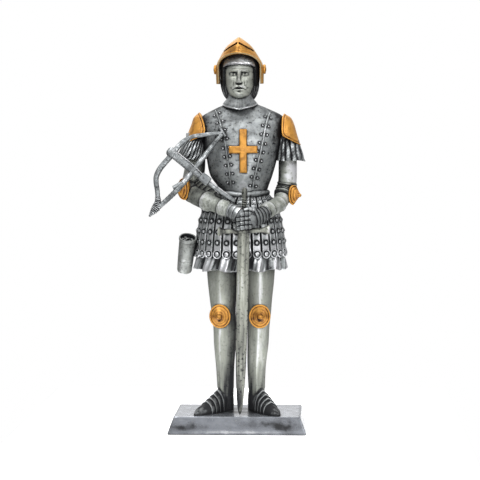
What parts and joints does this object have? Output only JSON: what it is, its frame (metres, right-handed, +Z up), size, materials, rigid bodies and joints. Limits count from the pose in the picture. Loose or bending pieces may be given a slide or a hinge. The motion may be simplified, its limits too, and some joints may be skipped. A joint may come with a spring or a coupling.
{
  "type": "medieval knight statuette",
  "caption": "Cast pewter knight in plate armour and pleated skirt, visor raised, leaning on an upright sword with a crossbow over one arm, on a bevelled plinth.",
  "frame": {"origin": "centre of the plinth's underside", "axes": "+Z up; the knight looks along -Y; +X is on the knight's left"},
  "size_m": [0.0409, 0.0241, 0.1046],
  "materials": {
    "pewter": "satin",
    "gold_paint": "satin"
  },
  "bodies": {
    "root": {"plinth": "pewter", "knight_figure": "pewter", "sword": "pewter", "crossbow": "pewter"}
  },
  "joints": []
}
